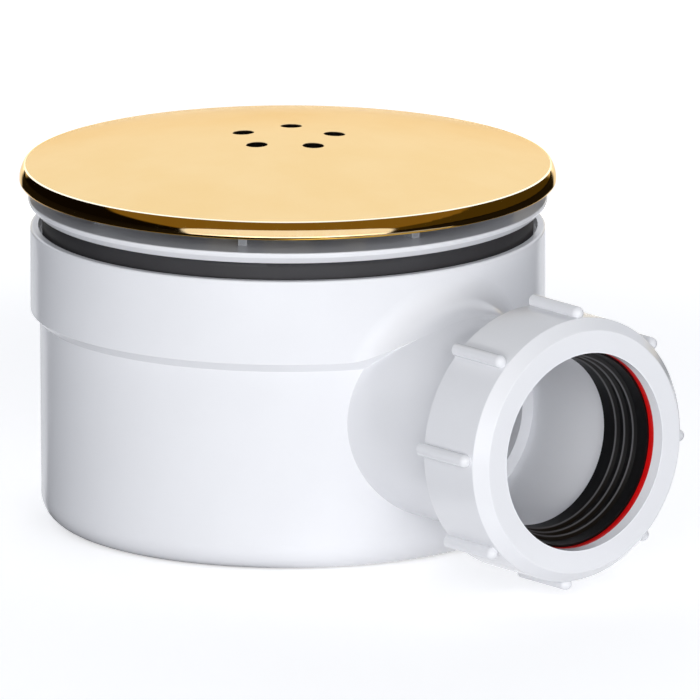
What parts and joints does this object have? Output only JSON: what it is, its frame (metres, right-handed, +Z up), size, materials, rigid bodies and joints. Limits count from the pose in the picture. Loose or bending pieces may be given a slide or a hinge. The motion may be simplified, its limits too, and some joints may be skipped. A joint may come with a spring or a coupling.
{
  "type": "shower trap",
  "caption": "Low round shower trap with a domed gold cover, clamping flange, rubber tray seal, inner water seal cup and a side compression outlet for a waste pipe.",
  "frame": {"origin": "on the trap's vertical axis, at the flat base that it stands on", "axes": "+Z up along the trap's axis, +X along the outlet, towards the waste pipe"},
  "size_m": [0.1534, 0.112, 0.0816],
  "materials": {
    "gold_cover": "satin top with a polished rim",
    "white_plastic": "smooth moulded",
    "black_rubber": "matt",
    "red_plastic": "smooth moulded"
  },
  "bodies": {
    "root": {"cover_plate": "gold_cover", "hair_strainer": "white_plastic", "clamping_flange": "white_plastic", "dip_tube": "white_plastic", "dip_tube_o_ring": "black_rubber", "water_seal_cup": "white_plastic", "tray_seal": "black_rubber", "trap_body": "white_plastic", "outlet_nut": "white_plastic", "slip_ring": "red_plastic", "outlet_seal": "black_rubber"}
  },
  "joints": []
}
